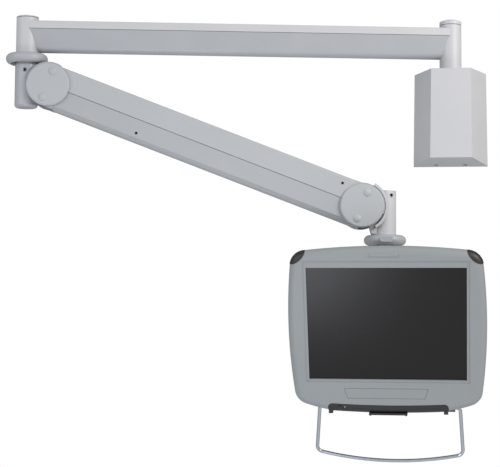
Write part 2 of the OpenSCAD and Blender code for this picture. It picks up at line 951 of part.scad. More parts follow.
side_c = [face_w / 2 - side_arc_r, side_arc_z];
top_c = [0, face_top - top_arc_r];
bottom_c = [0, bottom_arc_r - face_bottom];
top_corner_c = meet(side_c, side_arc_r - top_corner_r, top_c, top_arc_r - top_corner_r);
turn_at = asin(turn_x / bottom_arc_r);
turn_c = bottom_c + bottom_arc_r * [sin(turn_at), -cos(turn_at)] - turn_r * [sin(turn_a), -cos(turn_a)];
low_corner_c = meet(turn_c, turn_r - bottom_corner_r, side_c, side_arc_r - bottom_corner_r);

// Right half of the monitor's outline, from the bottom middle to the top middle
function half_outline(inset) =
    let (a1 = bearing(turn_c, low_corner_c), a2 = bearing(side_c, low_corner_c))
    let (a3 = bearing(side_c, top_corner_c), a4 = bearing(top_c, top_corner_c))
    concat(open_arc(bottom_c, bottom_arc_r - inset, -90, turn_at - 90, 5),
        open_arc(turn_c, turn_r - inset, turn_a - 90, a1, 6),
        open_arc(low_corner_c, bottom_corner_r - inset, a1, a2, 10),
        open_arc(side_c, side_arc_r - inset, a2, a3, 10),
        open_arc(top_corner_c, top_corner_r - inset, a3, a4, 10),
        arc(top_c, top_arc_r - inset, a4, 90, 6));

module face_outline(inset = 0) {
    right = half_outline(inset);
    left = [for (i = [len(right) - 2:-1:1]) [-right[i][0], right[i][1]]];
    polygon(concat(right, left));
}

rear_front_y = -face_y + bezel_d;
rear_step_y = -72;

rear_low = -170;

// The face's outline set in, and cut level at the bottom to leave room for the bail
module rear_outline(inset) {
    intersection() {
        face_outline(6 + inset);
        translate([-250, rear_low + inset]) square(500);
    }
}

module rear_form(inset) {
    plate_y(rear_front_y + (inset > 0 ? -1 : 0), rear_step_y) rear_outline(inset);
    hull() {
        plate_y(rear_step_y - eps, rear_step_y) rear_outline(inset);
        plate_y(-back_y - 1 - inset, -back_y - inset) translate([-135 + inset, -120 + inset])
            square([270 - 2 * inset, 240 - 2 * inset]);
    }
}

module rear_housing() {
    color("darkgray") at_face() difference() {
        union() {
            difference() {
                rear_form(0);
                rear_form(wall);
            }
            for (x = [-vesa / 2, vesa / 2], z = [-vesa / 2, vesa / 2])
                translate([x, 0, z]) rod_y(5, -back_y - 12, -back_y - 1);
        }
        for (x = [-vesa / 2, vesa / 2], z = [-vesa / 2, vesa / 2])
            translate([x, 0, z]) rod_y(2, -back_y - 11, -back_y + 1);
        for (row = [-5:5]) translate([row * 9 - 1.5, -back_y - 6, 76]) cube([3, 12, 30]);
        for (row = [-5:5]) translate([row * 9 - 1.5, -back_y - 6, -106]) cube([3, 12, 30]);
    }
}

strip_w = 236;
strip_top = -166;
strip_low = -182;

// Side arc of the cap that faces the screen
cap_cut_r = 35.6;
cap_cut = [189.4, 157];

module cap_leaf(inset) {
    intersection() {
        face_outline(inset);
        translate(cap_cut) circle(cap_cut_r - inset);
    }
}

module strip_shape(grow) {
    bend = 9 + grow;
    side = strip_w / 2 + grow;
    high = strip_top + grow;
    translate([-side + bend, strip_low - 20]) square([2 * (side - bend), high - strip_low + 20]);
    translate([-side, strip_low - 20]) square([2 * side, high - bend - strip_low + 20]);
    for (end = [-1, 1]) translate([end * (side - bend), high - bend]) circle(bend);
}

module front_bezel() {
    color("darkgray") at_face() difference() {
        plate_y(-face_y, rear_front_y - 0.1) face_outline();
        plate_y(-face_y + 5, rear_front_y + 1) face_outline(4);
        plate_y(-face_y - 1, 0) translate([-screen_w / 2, -screen_h / 2]) square([screen_w, screen_h]);
        plate_y(-face_y - 1, -face_y + lip) translate([-screen_w / 2 - lip, -screen_h / 2 - lip])
            square([screen_w + 2 * lip, screen_h + 2 * lip]);
        plate_y(-face_y - 1, 0) strip_shape(0.3);
        for (side = [0, 1])
            mirror([side, 0, 0]) plate_y(-face_y - 1, 0) translate(cap_cut) circle(cap_cut_r + 0.3);
    }
}

glass_front = -face_y + 5.2;
glass_back = glass_front + glass_t;

module screen_glass() {
    color([0.1, 0.1, 0.12]) at_face() plate_y(glass_front, glass_back)
        translate([-screen_w / 2 - 8, -screen_h / 2 - 8]) square([screen_w + 16, screen_h + 16]);
}

module lcd_panel() {
    color("black") at_face() plate_y(glass_back + 0.5, glass_back + 12.5)
        translate([-163, -126.5]) square([326, 253]);
}

module chassis_plate() {
    color("silver") at_face() plate_y(glass_back + 13, glass_back + 14.5)
        translate([-155, -128]) square([310, 256]);
}

module main_board() {
    color("green") at_face() {
        plate_y(glass_back + 18, glass_back + 19.6) translate([-120, -85]) square([240, 170]);
        plate_y(glass_back + 19, glass_back + 28) translate([-30, -30]) square([60, 60]);
        plate_y(glass_back + 19, glass_back + 26) translate([60, 20]) square([40, 50]);
        for (x = [-110, 110], z = [-75, 75])
            translate([x, 0, z]) rod_y(3, glass_back + 14.6, glass_back + 18.5);
    }
}

module corner_caps() {
    color([0.18, 0.18, 0.2]) at_face() for (side = [0, 1]) mirror([side, 0, 0]) {
        plate_y(-face_y + 0.3, rear_front_y - 0.5) cap_leaf(0.2);
    }
}

module control_strip() {
    color([0.15, 0.15, 0.17]) at_face() difference() {
        plate_y(-face_y - 0.8, rear_front_y - 0.5) intersection() {
            strip_shape(0);
            union() {
                face_outline(2.5);
                for (side = [-1, 1]) translate([side * 113 - 5, -187.5]) square([10, 15]);
            }
        }
        plate_y(-face_y + 3, 0) translate([-110, -180]) square([220, 12.5]);
        translate([-95, 0, -173]) rod_y(3.3, -face_y - 5, -face_y + 6);
        translate([-85, 0, -173]) rod_y(1.5, -face_y - 5, -face_y + 6);
    }
}

module centre_foot() {
    color([0.15, 0.15, 0.17]) at_face() difference() {
        plate_y(-face_y - 1.6, rear_front_y - 4) {
            translate([-35, -189.6]) square([70, 4.2]);
            for (side = [-1, 1]) translate([side * 35, -188]) circle(3);
        }
        plate_y(-face_y - 10, 0) face_outline(2.3);
    }
}

module status_lamp() {
    color("lime") at_face() translate([-85, 0, -173]) rod_y(1.4, -face_y - 0.9, -face_y + 2.6);
}

module power_button() {
    color("dimgray") at_face() translate([-95, 0, -173]) {
        rod_y(3, -face_y - 1.6, -face_y + 4);
        rod_y(4.5, -face_y + 4, -face_y + 6);
    }
}

// ---------- bail ----------

clip_x = 122;
clip_w = 14;
clip_low = 5.8;

module bail_clips() {
    color("dimgray") at_face() for (side = [-1, 1]) difference() {
        low = bail_z - clip_low - side * clip_x * sin(bail_lean);
        translate([bail_x + side * clip_x - clip_w / 2, bail_y - 7, low])
            cube([clip_w, 14, rear_low - 0.1 - low]);
        translate([bail_x, bail_y, bail_z]) rotate([0, bail_lean, 0]) rod_x(bail_r + slip, -150, 150);
    }
}

bow_c = [0, bail_bow_r + bail_low];
bend_c = bow_c + (bail_bow_r - bail_bend_r) * [sin(bail_bow_a), -cos(bail_bow_a)];
leg_low = bend_c + bail_bend_r * [cos(bail_splay), sin(bail_splay)];
leg_l = (bail_z - bail_hook_r * (1 - sin(bail_splay)) - leg_low[1]) / cos(bail_splay);
leg_high = leg_low + leg_l * [-sin(bail_splay), cos(bail_splay)];
hook_c = leg_high - bail_hook_r * [cos(bail_splay), sin(bail_splay)];

// Centre line of the right half, from the pin's end to the middle of the bow
bow_steps = 10;
bail_line = concat(
    arc(hook_c, bail_hook_r, 90, bail_splay, 8),
    arc(bend_c, bail_bend_r, bail_splay, bail_bow_a - 90, 8),
    arc(bow_c, bail_bow_r, bail_bow_a * (1 - 1 / bow_steps) - 90, -90, bow_steps - 1));

module bail() {
    line = [for (p = bail_line) [p[0], 0, p[1]]];
    whole = concat(line, [for (i = [len(line) - 2:-1:0]) [-line[i][0], 0, line[i][2]]]);
    color("silver") at_face() translate([bail_x, bail_y, bail_z]) rotate([0, bail_lean, 0]) {
        translate([0, 0, -bail_z]) swept_tube(whole, bail_r, 16, [0, 1, 0]);
        for (side = [0, 1]) mirror([side, 0, 0]) rod_x(bail_r, bail_pin_x - 8, hook_c[0] + 1);
    }
}

module bail_tips() {
    color("dimgray") at_face() translate([bail_x, bail_y, bail_z]) rotate([0, bail_lean, 0])
        for (side = [0, 1]) mirror([side, 0, 0]) rod_x(6, bail_pin_x - 12, bail_pin_x - 8.1);
}

wall_plate();
post_bracket();
post_bushes();
housing_cover();
housing_screws();
wall_post();
wall_post_cap();
post_collars();
arm_beam();
arm_lid();
elbow_post();
elbow_post_cap();
elbow_spindle();
spindle_washer();
upper_collar();
rear_knuckle();
elbow_bush();
rear_set_screw();
rear_pins();
rear_knuckle_plug();
arm_frame();
pivot_bushes();
upper_shell();
lower_shell();
rear_near_cover();
rear_far_cover();
front_near_cover();
front_far_cover();
cover_plugs();
side_screws();
spring_seat();
spring();
spring_rod();
tension_link();
front_knuckle();
swivel_bush();
front_set_screw();
front_pins();
lower_collar();
collar_plug();
swivel_spindle();
swivel_washer();
tilt_fork();
tilt_pin();
mounting_bracket();
bracket_screws();
rear_housing();
front_bezel();
screen_glass();
lcd_panel();
chassis_plate();
main_board();
corner_caps();
control_strip();
centre_foot();
status_lamp();
power_button();
bail_clips();
bail();
bail_tips();
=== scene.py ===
"""Bedside patient monitor on its wall arm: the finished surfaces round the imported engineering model."""
import json
import math

import bmesh
import bpy
from mathutils import Matrix, Vector

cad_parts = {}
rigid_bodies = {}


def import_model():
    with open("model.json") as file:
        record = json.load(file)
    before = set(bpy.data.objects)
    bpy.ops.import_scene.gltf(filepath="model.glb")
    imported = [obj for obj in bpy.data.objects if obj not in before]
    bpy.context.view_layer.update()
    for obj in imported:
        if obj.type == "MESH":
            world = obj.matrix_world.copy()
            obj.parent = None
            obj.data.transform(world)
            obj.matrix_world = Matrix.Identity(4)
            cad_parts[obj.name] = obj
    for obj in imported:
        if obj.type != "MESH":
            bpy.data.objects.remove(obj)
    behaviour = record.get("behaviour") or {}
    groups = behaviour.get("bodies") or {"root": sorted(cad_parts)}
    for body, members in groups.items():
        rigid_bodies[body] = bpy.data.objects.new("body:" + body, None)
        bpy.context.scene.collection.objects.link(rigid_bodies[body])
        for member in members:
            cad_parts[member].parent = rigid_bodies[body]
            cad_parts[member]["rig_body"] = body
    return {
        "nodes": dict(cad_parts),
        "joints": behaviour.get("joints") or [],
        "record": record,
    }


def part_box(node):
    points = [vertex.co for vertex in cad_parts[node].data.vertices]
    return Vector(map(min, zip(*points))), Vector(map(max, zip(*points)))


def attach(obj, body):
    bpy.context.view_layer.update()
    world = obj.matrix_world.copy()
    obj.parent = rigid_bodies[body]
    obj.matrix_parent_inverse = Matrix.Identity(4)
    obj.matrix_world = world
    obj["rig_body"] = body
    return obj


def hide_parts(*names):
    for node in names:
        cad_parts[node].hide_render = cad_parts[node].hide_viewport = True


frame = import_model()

MM = 0.001
NODES = frame["nodes"]
JOINTS = {joint["name"]: joint for joint in frame["joints"]}
SLOTS = {part["node"]: part["material_slot"] for part in frame["record"]["subparts"]}
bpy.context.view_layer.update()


# ---------- places ----------

def axes_at(origin, x_axis, y_axis):
    """Matrix that takes a piece drawn round its own axes to its place on the object."""
    x, y = Vector(x_axis).normalized(), Vector(y_axis).normalized()
    columns = (x, y, x.cross(y))
    place = Matrix.Identity(4)
    for i, column in enumerate(columns):
        for row in range(3):
            place[row][i] = column[row]
    place.translation = origin
    return place


# The middle of the screen lies this far along the tilt axis from the tilt joint's place
FACE_SHIFT = 8 * MM
TILT = JOINTS["monitor_tilt"]
TILT_AXIS = Vector(TILT["axis"])
FACE = axes_at(Vector(TILT["pos_m"]) + FACE_SHIFT * TILT_AXIS, TILT_AXIS,
               JOINTS["power_button_press"]["axis"])

# The monitor's face, drawn with X across, Z up the screen and the front towards -Y
FACE_Y = -107 * MM
BEZEL_BACK = FACE_Y + 15.9 * MM
FACE_TOP, FACE_LOW, FACE_HALF = 155.6 * MM, -187.6 * MM, 192.6 * MM
# Radii of the face's shallow edges and of its corners, and the height of the side arcs' centres
SIDE_ARC, TOP_ARC, LOW_ARC = 1150 * MM, 1437 * MM, 1800 * MM
CORNER = 32 * MM
SIDE_ARC_Z = -8 * MM
# The lower edge turns up beside the control strip: where, by how much and with what radius
TURN_X, TURN_SLOPE, TURN_ARC = 115 * MM, math.radians(10), 300 * MM
SCREEN_W, SCREEN_H = 308 * MM, 231 * MM


# ---------- finishes ----------

def linear(code):
    """Linear colour of an sRGB hex code."""
    parts = [int(code[i:i + 2], 16) / 255 for i in (1, 3, 5)]
    return [p / 12.92 if p <= 0.04045 else ((p + 0.055) / 1.055) ** 2.4 for p in parts] + [1.0]


def wire(tree, kind, settings, links=()):
    """Adds one node: settings fill its properties or sockets, links join its sockets to earlier nodes."""
    new = tree.nodes.new(kind)
    for key, value in settings.items():
        if isinstance(key, str) and hasattr(new, key):
            setattr(new, key, value)
        else:
            new.inputs[key].default_value = value
    for key, source in links:
        tree.links.new(source, new.inputs[key])
    return new


# Where the tone is lightest the surface is this much rougher, and where darkest this much smoother
ROUGHER, SMOOTHER = 0.06, 0.05


def surface(name, light, dark, roughness, metallic, patch_mm, grain_mm, relief_mm, sockets):
    """One finish: colour drifting between two tones over patch_mm, and a fine relief of grain_mm."""
    material = bpy.data.materials.new(name)
    material.use_nodes = True
    tree = material.node_tree
    tree.nodes.clear()
    place = wire(tree, "ShaderNodeTexCoord", {}).outputs["Object"]
    patch = wire(tree, "ShaderNodeTexNoise",
                 {"Scale": 1 / (patch_mm * MM), "Detail": 3.0, "Roughness": 0.55}, [("Vector", place)])
    tone = wire(tree, "ShaderNodeMix", {"data_type": "RGBA", 6: linear(dark), 7: linear(light)},
                [(0, patch.outputs["Fac"])])
    gloss = wire(tree, "ShaderNodeMapRange",
                 {"To Min": roughness - SMOOTHER, "To Max": roughness + ROUGHER},
                 [("Value", patch.outputs["Fac"])])
    grain = wire(tree, "ShaderNodeTexNoise",
                 {"Scale": 1 / (grain_mm * MM), "Detail": 2.0, "Roughness": 0.5}, [("Vector", place)])
    relief = wire(tree, "ShaderNodeBump", {"Strength": 0.5, "Distance": relief_mm * MM},
                  [("Height", grain.outputs["Fac"])])
    shader = wire(tree, "ShaderNodeBsdfPrincipled", {"Metallic": metallic, **sockets},
                  [("Base Color", tone.outputs[2]), ("Roughness", gloss.outputs["Result"]),
                   ("Normal", relief.outputs["Normal"])])
    wire(tree, "ShaderNodeOutputMaterial", {}, [("Surface", shader.outputs["BSDF"])])
    return material


# Each finish: name, light and dark tone, roughness, metallic, patch, grain and relief in mm, other settings
FINISHES = {
    # Epoxy powder coat on steel tube and castings: satin, faint orange peel about a millimetre across
    "light_coat": surface("epoxy_powder_coat_light_grey", "#bbbcc0", "#b4b6ba", 0.46, 0.0, 90, 1.4, 0.05, {}),
    # Injection moulded ABS-PC shells: spark-eroded texture, drawn at 0.8 mm so that it shows
    "arm_shell": surface("moulded_abs_silver_grey", "#a9adb1", "#a3a7ab", 0.52, 0.0, 120, 0.8, 0.05, {}),
    # The same moulding made darker as painted shade of the underside, for the trough under the arm
    "arm_underside": surface("moulded_abs_grey_painted_underside_shade", "#a3a7ab", "#9ca0a5", 0.55, 0.0, 120, 0.8, 0.05, {}),
    # Aluminium extrusion and castings under a thin satin lacquer
    "arm_metal": surface("lacquered_aluminium_satin", "#a2a6ab", "#9b9fa5", 0.42, 0.0, 70, 1.0, 0.03,
                         {"Coat Weight": 0.15}),
    # Zinc plated steel sheet and bar, with the plating's faint cloudiness
    "zinc_steel": surface("zinc_plated_steel", "#b9bbbf", "#9fa2a8", 0.32, 1.0, 25, 0.6, 0.02, {}),
    # Black oxide on hardened steel screws and the spring wire
    "dark_steel": surface("black_oxide_steel", "#303134", "#242528", 0.38, 0.8, 12, 0.4, 0.02, {}),
    # Natural acetal bearing bushes, waxy and slightly translucent
    "bearing_plastic": surface("acetal_natural", "#e0dfd8", "#d8d7cf", 0.35, 0.0, 30, 0.5, 0.01,
                               {"Subsurface Weight": 0.05, "Subsurface Scale": 0.002}),
    # The monitor's case: moulded ABS-PC in blue grey with a fine matt texture
    "monitor_case": surface("moulded_abs_blue_grey", "#878c8f", "#818689", 0.50, 0.0, 140, 0.7, 0.05, {}),
    # Satin black ABS trim
    "black_plastic": surface("moulded_abs_black", "#1b1b1f", "#141417", 0.46, 0.0, 30, 0.6, 0.03, {}),
    # Anti-glare cover glass over a dark panel, so it reads as near black with a soft sheen
    "screen_glass": surface("anti_glare_cover_glass", "#08080b", "#060608", 0.26, 0.0, 200, 0.3, 0.002,
                            {"Specular IOR Level": 0.31}),
    # Painted back of the display panel
    "panel": surface("painted_panel_black", "#17171a", "#101012", 0.5, 0.0, 60, 0.5, 0.01, {}),
    # Epoxy glass laminate under green solder resist
    "board": surface("solder_resist_green", "#1f6b3a", "#185430", 0.35, 0.0, 15, 0.8, 0.02, {}),
    # Clear polycarbonate light pipe, unlit
    "lamp": surface("polycarbonate_light_pipe", "#a3b0a8", "#98a59d", 0.15, 0.0, 4, 0.4, 0.005,
                    {"Transmission Weight": 0.3}),
    # Bright chrome plate on a bent steel rod
    "bail_chrome": surface("bright_chrome_plate", "#abb1bb", "#a1a7b2", 0.12, 1.0, 40, 0.5, 0.002, {}),
}


# ---------- making by hand ----------

def pick(piece):
    """Makes one piece the only selected and active one."""
    bpy.ops.object.select_all(action="DESELECT")
    piece.select_set(True)
    bpy.context.view_layer.objects.active = piece


def in_edit(piece, kind):
    """Opens a piece in edit mode with nothing selected."""
    pick(piece)
    bpy.ops.object.mode_set(mode="EDIT")
    bpy.ops.mesh.select_mode(type=kind)
    bpy.ops.mesh.select_all(action="DESELECT")
    return bmesh.from_edit_mesh(piece.data)


def leave_edit():
    """Goes back to object mode."""
    bpy.ops.object.mode_set(mode="OBJECT")


# Corners closer than this are one corner, on drawn pieces and on copies of engineering parts
WELD, COPY_WELD = 0.001 * MM, 0.002 * MM
# Neighbouring faces of a copy that turn by less than this are one face
FLAT_WITHIN = math.radians(0.6)


def turn_outwards(piece):
    """Welds a piece's loose corners and turns all its faces outwards."""
    in_edit(piece, "FACE")
    bpy.ops.mesh.select_all(action="SELECT")
    bpy.ops.mesh.remove_doubles(threshold=WELD)
    bpy.ops.mesh.normals_make_consistent(inside=False)
    leave_edit()


def round_edges(piece, width, segments, chosen=None, sharp=28):
    """Rounds the outward edges that turn by more than sharp degrees, or those of them that are chosen."""
    mesh = in_edit(piece, "EDGE")
    for edge in mesh.edges:
        if len(edge.link_faces) != 2 or not edge.is_convex:
            continue
        if edge.calc_face_angle(0) < math.radians(sharp):
            continue
        if chosen is None or chosen(*(v.co for v in edge.verts)):
            edge.select_set(True)
    bmesh.update_edit_mesh(piece.data)
    bpy.ops.mesh.bevel(offset=width, segments=segments, affect="EDGES", clamp_overlap=True)
    leave_edit()


def finished_copy(name):
    """A copy of one engineering part, with its loose triangles joined into whole faces."""
    piece = bpy.data.objects.new(name + ".finished", NODES[name].data.copy())
    bpy.context.scene.collection.objects.link(piece)
    in_edit(piece, "FACE")
    bpy.ops.mesh.customdata_custom_splitnormals_clear()
    bpy.ops.mesh.select_all(action="SELECT")
    bpy.ops.mesh.remove_doubles(threshold=COPY_WELD)
    bpy.ops.mesh.dissolve_limited(angle_limit=FLAT_WITHIN)
    leave_edit()
    return piece


def outlined_face(name, points, y):
    """One flat face with the given outline, square to Y."""
    bpy.ops.object.select_all(action="DESELECT")
    bpy.ops.mesh.primitive_circle_add(vertices=len(points), radius=1, fill_type="NGON")
    piece = bpy.context.object
    piece.name = name
    for vertex, (x, z) in zip(piece.data.vertices, points):
        vertex.co = (x, y, z)
    return piece


def outlined_blank(name, points, front, back):
    """A plate with the given outline, thick from front to back along Y."""
    piece = outlined_face(name, points, front)
    in_edit(piece, "FACE")
    bpy.ops.mesh.select_all(action="SELECT")
    bpy.ops.mesh.extrude_region_move(TRANSFORM_OT_translate={"value": (0, back - front, 0)})
    leave_edit()
    turn_outwards(piece)
    return piece


def combine(piece, tool, operation):
    """Cuts, joins or keeps the shared part of two solids, and takes the tool away."""
    pick(piece)
    bpy.ops.object.modifier_add(type="BOOLEAN")
    modifier = piece.modifiers[-1]
    modifier.operation = operation
    modifier.solver = "EXACT"
    modifier.object = tool
    bpy.ops.object.modifier_apply(modifier=modifier.name)
    bpy.data.objects.remove(tool)


def put_in_place(piece, place):
    """Moves a piece drawn round its own axes to its place, and leaves its own origin at the object's."""
    piece.matrix_world = place
    pick(piece)
    bpy.ops.object.transform_apply(location=True, rotation=True, scale=True)


def dress(piece, nodes, slot, angle=30):
    """Gives a piece its finish and smooth shading, and lets it stand for its engineering parts."""
    piece.data.materials.clear()
    piece.data.materials.append(FINISHES[slot])
    pick(piece)
    bpy.ops.object.shade_smooth_by_angle(angle=math.radians(angle))
    # Large flat faces keep their own normals beside the narrow rounded edges
    bpy.ops.object.modifier_add(type="WEIGHTED_NORMAL")
    piece.modifiers[-1].keep_sharp = True
    bpy.ops.object.modifier_apply(modifier=piece.modifiers[-1].name)
    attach(piece, NODES[nodes[0]]["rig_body"])
    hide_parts(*nodes)


# ---------- outlines on the monitor's face ----------

def arc(centre, radius, start, end, steps):
    """Points along a circle's arc, angles in radians."""
    turns = (start + (end - start) * i / steps for i in range(steps + 1))
    return [(centre[0] + radius * math.cos(a), centre[1] + radius * math.sin(a)) for a in turns]


def meet(a, ra, b, rb):
    """Point at distance ra from a and rb from b, on the left of the line from a to b."""
    span = math.dist(a, b)
    ux, uy = (b[0] - a[0]) / span, (b[1] - a[1]) / span
    along = (ra * ra - rb * rb + span * span) / (2 * span)
    across = math.sqrt(ra * ra - along * along)
    return (a[0] + ux * along - uy * across, a[1] + uy * along + ux * across)


def bearing(start, end):
    """Direction from one point to another, in radians."""
    return math.atan2(end[1] - start[1], end[0] - start[0])


def face_outline(inset):
    """The monitor's outline, set in: shallow arcs joined by corner arcs, turned up beside the strip."""
    side, top = (FACE_HALF - SIDE_ARC, SIDE_ARC_Z), (0, FACE_TOP - TOP_ARC)
    low = (0, FACE_LOW + LOW_ARC)
    high_corner = meet(side, SIDE_ARC - CORNER, top, TOP_ARC - CORNER)
    turn_at = math.asin(TURN_X / LOW_ARC)
    turn = (LOW_ARC * math.sin(turn_at) - TURN_ARC * math.sin(TURN_SLOPE),
            low[1] - LOW_ARC * math.cos(turn_at) + TURN_ARC * math.cos(TURN_SLOPE))
    low_corner = meet(turn, TURN_ARC - CORNER, side, SIDE_ARC - CORNER)
    a1, a2 = bearing(turn, low_corner), bearing(side, low_corner)
    a3, a4 = bearing(side, high_corner), bearing(top, high_corner)
    right = arc(low, LOW_ARC - inset, -math.pi / 2, turn_at - math.pi / 2, 8)[:-1]
    right += arc(turn, TURN_ARC - inset, TURN_SLOPE - math.pi / 2, a1, 8)[:-1]
    right += arc(low_corner, CORNER - inset, a1, a2, 16)[:-1]
    right += arc(side, SIDE_ARC - inset, a2, a3, 14)[:-1]
    right += arc(high_corner, CORNER - inset, a3, a4, 16)[:-1]
    right += arc(top, TOP_ARC - inset, a4, math.pi / 2, 8)
    return right + [(-x, z) for x, z in right[-2:0:-1]]


# The front rim's radius, in how many steps it is drawn, and how near the front its edge lies
RIM, RIM_STEPS, RIM_WITHIN = 13 * MM, 9, 1 * MM
# How far a cutting or trimming tool reaches past the solid it works on
PAST = 5 * MM
# Trim pieces stop this far short of the bezel's back
TRIM_SHORT = 1 * MM


def pillow(name, grow):
    """The face as one solid, its front rim rounded over like a pillow."""
    piece = outlined_blank(name, face_outline(-grow), FACE_Y - grow, BEZEL_BACK)
    round_edges(piece, RIM, RIM_STEPS, chosen=lambda a, b: max(a.y, b.y) < FACE_Y + RIM_WITHIN)
    return piece


def box_tool(low, high):
    """A plain block used only to cut or to add to another piece."""
    centre = [(a + b) / 2 for a, b in zip(low, high)]
    bpy.ops.object.select_all(action="DESELECT")
    bpy.ops.mesh.primitive_cube_add(size=1, location=centre,
                                    scale=[b - a for a, b in zip(low, high)])
    pick(bpy.context.object)
    bpy.ops.object.transform_apply(location=True, rotation=True, scale=True)
    return bpy.context.object


# A groove's cutting ring starts this far in front of the face
GROOVE_START = 1 * MM


def groove_tool(points, width, depth):
    """A closed ring of the given outline that cuts a groove of this width and depth in the face."""
    ring = outlined_face("groove", points, FACE_Y - GROOVE_START)
    in_edit(ring, "FACE")
    bpy.ops.mesh.select_all(action="SELECT")
    bpy.ops.mesh.inset(thickness=width, depth=0)
    bpy.ops.mesh.delete(type="FACE")
    bpy.ops.mesh.select_all(action="SELECT")
    bpy.ops.mesh.extrude_region_move(TRANSFORM_OT_translate={"value": (0, depth + GROOVE_START, 0)})
    leave_edit()
    turn_outwards(ring)
    return ring


# The control strip: a bar along the lower edge with round upper corners and an upper edge that sags
STRIP_HALF, STRIP_TOP, STRIP_SAG, STRIP_CORNER = 118 * MM, -166.4 * MM, 3.2 * MM, 8 * MM
# The outline is closed below the face, whose lower edge then trims it
STRIP_FLOOR = -200 * MM


def strip_outline(grow):
    """The control strip's outline, made larger all round by grow."""
    half, corner = STRIP_HALF + grow, STRIP_CORNER + grow
    top = STRIP_TOP + grow
    right = arc((half - corner, top - corner), corner, 0, math.pi / 2, 8)
    steps = 12
    inner = half - corner
    sag = [(inner - 2 * inner * i / steps,
            top - STRIP_SAG * (1 - (1 - 2 * i / steps) ** 2)) for i in range(1, steps)]
    left = [(-x, z) for x, z in reversed(right)]
    return [(half, STRIP_FLOOR)] + right + sag + left + [(-half, STRIP_FLOOR)]


# A corner cap is the part of the face inside this circle
CAP_CENTRE, CAP_REACH = (189.4 * MM, 157 * MM), 35.6 * MM


def cap_outline(side, grow):
    """The circle that bounds the corner cap on one side, made larger by grow."""
    circle = arc(CAP_CENTRE, CAP_REACH + grow, 0, 2 * math.pi, 72)[:-1]
    return [(side * x, z) for x, z in circle]


def panel_line(left, right, top, foot, taper):
    """Corners of a panel line, from places in mm; its sides lean in by taper towards its foot."""
    corners = [(left, top), (right, top), (right - taper, foot), (left + taper, foot)]
    return [(x * MM, z * MM) for x, z in corners]


# The panel lines under and over the screen, and their grooves
LOWER_PANEL = {"left": -86, "right": 80, "top": -133, "foot": -155, "taper": 7}
UPPER_PANEL = {"left": -32, "right": 26, "top": 152.5, "foot": 137, "taper": 0}
GROOVE_WIDTH, LOWER_GROOVE, UPPER_GROOVE = 1.1 * MM, 0.8 * MM, 0.7 * MM
# The tray round the screen: its depth, and its reach beside, below and above the opening
TRAY, TRAY_SIDE, TRAY_BELOW, TRAY_ABOVE = 1.3 * MM, 6 * MM, 5 * MM, 13.5 * MM
# Gap between a trim piece and its pocket
POCKET_GAP = 0.5 * MM
# The bezel's wall round the rim and behind the face
RIM_WALL, FACE_WALL = 14 * MM, 6 * MM
# Moulded edges of the bezel: radius, how deep behind the face they reach, shortest one that is rounded
BEZEL_EDGE, BEZEL_EDGE_DEPTH, BEZEL_EDGE_LEAST = 0.5 * MM, 12 * MM, 0.7 * MM
# Edges of the black trim: radius
TRIM_EDGE = 0.6 * MM


def make_bezel():
    """The monitor's moulded front frame, with its screen opening, panel lines and pockets."""
    piece = pillow("front_bezel.finished", 0)
    front, back = FACE_Y - PAST, BEZEL_BACK + PAST
    half_w, half_h = SCREEN_W / 2, SCREEN_H / 2
    # The shallow tray, then the opening inside it
    combine(piece, box_tool((-half_w - TRAY_SIDE, front, -half_h - TRAY_BELOW),
                            (half_w + TRAY_SIDE, FACE_Y + TRAY, half_h + TRAY_ABOVE)), "DIFFERENCE")
    combine(piece, box_tool((-half_w, front, -half_h), (half_w, back, half_h)), "DIFFERENCE")
    # Pockets for the control strip and the corner caps
    for outline in (strip_outline(POCKET_GAP), cap_outline(-1, POCKET_GAP), cap_outline(1, POCKET_GAP)):
        combine(piece, outlined_blank("pocket", outline, front, back), "DIFFERENCE")
    for panel, depth in ((LOWER_PANEL, LOWER_GROOVE), (UPPER_PANEL, UPPER_GROOVE)):
        combine(piece, groove_tool(panel_line(**panel), GROOVE_WIDTH, depth), "DIFFERENCE")
    # Hollow the back, leaving a wall round the rim and behind the face
    hollow = outlined_blank("hollow", face_outline(RIM_WALL), FACE_Y + FACE_WALL, back)
    combine(piece, hollow, "DIFFERENCE")
    deepest = FACE_Y + BEZEL_EDGE_DEPTH
    round_edges(piece, BEZEL_EDGE, 2, sharp=35,
                chosen=lambda a, b: max(a.y, b.y) < deepest and (a - b).length > BEZEL_EDGE_LEAST)
    put_in_place(piece, FACE)
    dress(piece, ["front_bezel"], "monitor_case")


# How far the corner caps and the control strip stand proud of the face
CAP_PROUD, STRIP_PROUD = 0.6 * MM, 0.9 * MM


def make_corner_caps():
    """Leaf-shaped black caps that wrap the two upper corners."""
    for side in (-1, 1):
        piece = pillow("corner_cap." + ("left" if side < 0 else "right"), CAP_PROUD)
        leaf = outlined_blank("leaf", cap_outline(side, 0), FACE_Y - PAST, BEZEL_BACK - TRIM_SHORT)
        combine(piece, leaf, "INTERSECT")
        round_edges(piece, TRIM_EDGE, 2, sharp=40)
        put_in_place(piece, FACE)
        dress(piece, ["corner_caps"], "black_plastic")


# The feet under the strip's two ends: inner and outer side, lower and upper end, and how far
# they stay behind the face and short of the bezel's back
FOOT_IN, FOOT_OUT, FOOT_LOW, FOOT_TOP = 109 * MM, 117.5 * MM, -187.5 * MM, -176 * MM
FOOT_BEHIND, FOOT_SHORT = 1 * MM, 2 * MM
# The wells for the button and the lamp
WELL_RADIUS = {"power_button": 3.6 * MM, "status_lamp": 1.7 * MM}
WELL_DEPTH = 6.5 * MM


